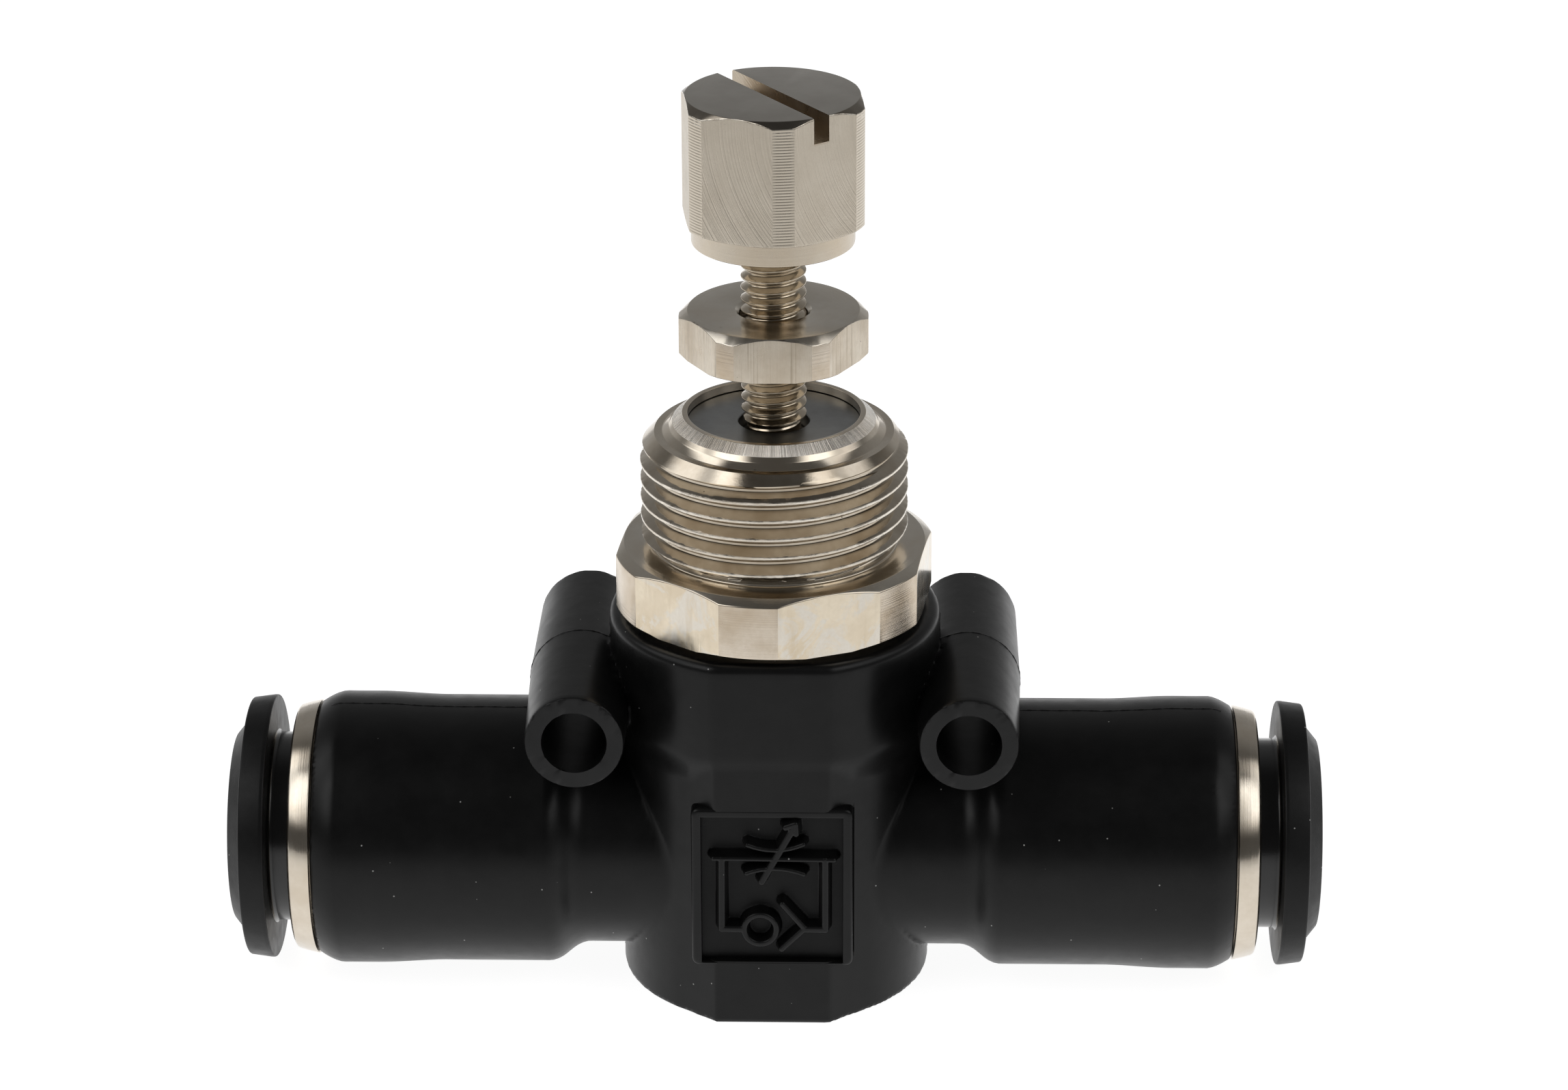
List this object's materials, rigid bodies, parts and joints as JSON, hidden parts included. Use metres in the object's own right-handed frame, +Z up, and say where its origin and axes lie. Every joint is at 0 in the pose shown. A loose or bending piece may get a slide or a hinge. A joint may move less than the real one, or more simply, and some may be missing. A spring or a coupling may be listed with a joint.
{
  "type": "flow control valve",
  "caption": "In-line one-way flow control valve: black tee body with a push-in tube port at each end, a threaded panel bush with a hexagon, and a needle stem with lock nut and slotted hex knob.",
  "frame": {"origin": "centre of the barrel's flat bottom, below the needle axis", "axes": "+Z up along the needle axis, +X along the tube ports, -Y towards the side with the symbol panel"},
  "size_m": [0.0576, 0.0168, 0.0487],
  "materials": {
    "moulded_black": "moulded glass-filled nylon, semi-matte black",
    "collet_black": "black acetal, slightly scuffed",
    "nickel_plate": "nickel-plated turned brass, warm silver, lightly tarnished",
    "stainless": "spring stainless steel",
    "nitrile_rubber": "black rubber",
    "white_acetal": "white acetal"
  },
  "bodies": {
    "valve_body": {"body": "moulded_black", "panel_bush": "nickel_plate", "needle_holder": "nickel_plate", "bush_o_ring": "nitrile_rubber", "seat_sleeve": "white_acetal", "check_lip_seal": "nitrile_rubber", "left_guide_ring": "nickel_plate", "right_guide_ring": "nickel_plate", "left_claw_ring": "stainless", "right_claw_ring": "stainless", "left_seal_spacer": "white_acetal", "right_seal_spacer": "white_acetal", "left_tube_seal": "nitrile_rubber", "right_tube_seal": "nitrile_rubber"},
    "needle_carriage": {"needle_o_ring": "nitrile_rubber"},
    "needle": {"needle_stem": "nickel_plate", "adjuster_knob": "nickel_plate"},
    "lock_nut": {"lock_nut": "nickel_plate"},
    "left_collet": {"left_release_collet": "collet_black"},
    "right_collet": {"right_release_collet": "collet_black"}
  },
  "joints": [
    {"name": "needle_lift", "type": "slide", "parent": "valve_body", "child": "needle_carriage", "axis": [0, 0, 1], "range_m": [-0.0036, 0]},
    {"name": "needle_turn", "type": "hinge", "parent": "needle_carriage", "child": "needle", "pos_m": [0, 0, 0.0385], "axis": [0, 0, 1], "range_deg": [-2161, 0]},
    {"name": "lock_nut_travel", "type": "slide", "parent": "valve_body", "child": "lock_nut", "axis": [0, 0, 1], "range_m": [-0.0031, 0]},
    {"name": "left_collet_press", "type": "slide", "parent": "valve_body", "child": "left_collet", "axis": [1, 0, 0], "range_m": [0, 0.0011], "stiffness_N_per_m": 400, "springref_m": -0.0005},
    {"name": "right_collet_press", "type": "slide", "parent": "valve_body", "child": "right_collet", "axis": [-1, 0, 0], "range_m": [0, 0.0011], "stiffness_N_per_m": 400, "springref_m": -0.0005}
  ],
  "couplings": [
    {"joint": "needle_turn", "follows": "needle_lift", "rad_per_m": 10472}
  ]
}
